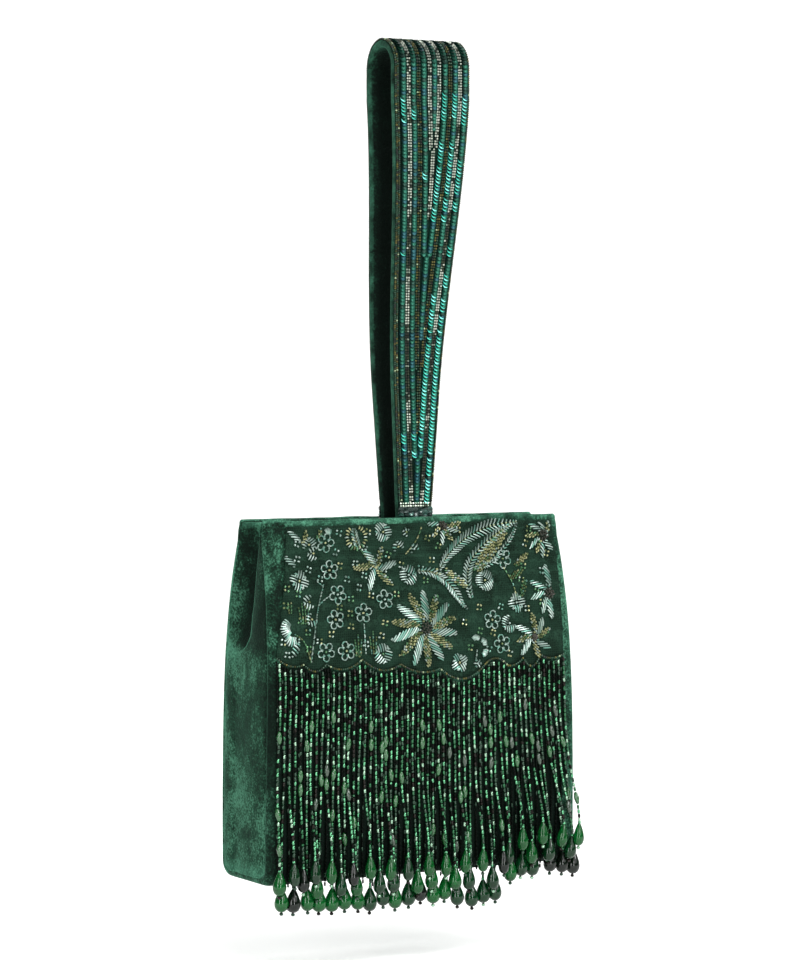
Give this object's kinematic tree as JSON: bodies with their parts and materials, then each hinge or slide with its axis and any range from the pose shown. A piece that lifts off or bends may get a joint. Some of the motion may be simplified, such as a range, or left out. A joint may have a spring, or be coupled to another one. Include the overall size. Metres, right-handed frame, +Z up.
{
  "type": "evening bag",
  "caption": "Soft velvet evening bag hung from one broad sequinned loop, with embroidered front, swinging bead fringe, pleated gussets, lined inside and a magnetic snap.",
  "frame": {"origin": "inner face of the loop's top, above the middle of the bag's width: where the bag is held", "axes": "+Z up, front with embroidery and fringe towards -Y, +X to the right seen from the front"},
  "size_m": [0.1992, 0.0658, 0.4883],
  "materials": {
    "velvet": "crushed velvet",
    "lining": "satin",
    "board": "grey board",
    "webbing": "matt weave",
    "net": "fine net over velvet",
    "sequins": "metallic sequins",
    "seed_beads": "gold-green lined glass",
    "silver_thread": "bright coiled wire",
    "glass_beads": "polished green glass",
    "snap_metal": "brushed"
  },
  "bodies": {
    "strap": {"strap_velvet": "velvet", "strap_webbing": "webbing", "strap_face": "net", "strap_sequins": "sequins", "strap_edge_beads_left": "seed_beads", "strap_edge_beads_right": "seed_beads"},
    "bag": {"back_velvet": "velvet", "back_board": "board", "snap_stud_plate": "snap_metal", "back_lining": "lining", "snap_stud": "snap_metal", "base_velvet": "velvet", "base_board": "board", "base_lining": "lining", "left_gusset_back": "velvet", "left_gusset_lining_back": "lining", "right_gusset_back": "velvet", "right_gusset_lining_back": "lining", "strap_root_back": "velvet"},
    "front": {"front_velvet": "velvet", "front_board": "board", "snap_socket_plate": "snap_metal", "front_lining": "lining", "snap_socket": "snap_metal", "left_gusset_front": "velvet", "left_gusset_lining_front": "lining", "right_gusset_front": "velvet", "right_gusset_lining_front": "lining", "strap_root_front": "velvet", "embroidery_ground": "net", "scallop_bead_line": "seed_beads", "large_flower": "silver_thread", "feather_leaf_upper": "silver_thread", "feather_leaf_lower": "silver_thread", "five_petal_flower": "silver_thread", "corner_flower": "silver_thread", "side_flower": "silver_thread", "low_flower": "silver_thread", "left_blossom": "silver_thread"},
    "fringe_1": {"fringe_1": "glass_beads"},
    "fringe_2": {"fringe_2": "glass_beads"},
    "fringe_3": {"fringe_3": "glass_beads"},
    "fringe_4": {"fringe_4": "glass_beads"},
    "fringe_5": {"fringe_5": "glass_beads"},
    "fringe_6": {"fringe_6": "glass_beads"},
    "fringe_7": {"fringe_7": "glass_beads"},
    "fringe_8": {"fringe_8": "glass_beads"}
  },
  "joints": [
    {"name": "strap_swing", "type": "hinge", "parent": "strap", "child": "bag", "pos_m": [0, -0.011, -0.219], "axis": [1, 0, 0], "range_deg": [-60, 60], "deforming": ["strap_root_back", "strap_root_front"]},
    {"name": "mouth_open", "type": "hinge", "parent": "bag", "child": "front", "pos_m": [0, -0.0199, -0.4623], "axis": [1, 0, 0], "range_deg": [0, 5]},
    {"name": "fringe_1_swing", "type": "hinge", "parent": "front", "child": "fringe_1", "pos_m": [-0.0789, -0.0308, -0.35], "axis": [-1, 0, 0], "range_deg": [0, 70]},
    {"name": "fringe_2_swing", "type": "hinge", "parent": "front", "child": "fringe_2", "pos_m": [-0.0557, -0.0308, -0.35], "axis": [-1, 0, 0], "range_deg": [0, 70]},
    {"name": "fringe_3_swing", "type": "hinge", "parent": "front", "child": "fringe_3", "pos_m": [-0.0325, -0.0308, -0.351], "axis": [-1, 0, 0], "range_deg": [0, 70]},
    {"name": "fringe_4_swing", "type": "hinge", "parent": "front", "child": "fringe_4", "pos_m": [-0.0093, -0.0308, -0.354], "axis": [-1, 0, 0], "range_deg": [0, 70]},
    {"name": "fringe_5_swing", "type": "hinge", "parent": "front", "child": "fringe_5", "pos_m": [0.0139, -0.0308, -0.358], "axis": [-1, 0, 0], "range_deg": [0, 70]},
    {"name": "fringe_6_swing", "type": "hinge", "parent": "front", "child": "fringe_6", "pos_m": [0.0371, -0.0308, -0.359], "axis": [-1, 0, 0], "range_deg": [0, 70]},
    {"name": "fringe_7_swing", "type": "hinge", "parent": "front", "child": "fringe_7", "pos_m": [0.0603, -0.0308, -0.353], "axis": [-1, 0, 0], "range_deg": [0, 70]},
    {"name": "fringe_8_swing", "type": "hinge", "parent": "front", "child": "fringe_8", "pos_m": [0.0835, -0.0308, -0.353], "axis": [-1, 0, 0], "range_deg": [0, 70]}
  ]
}
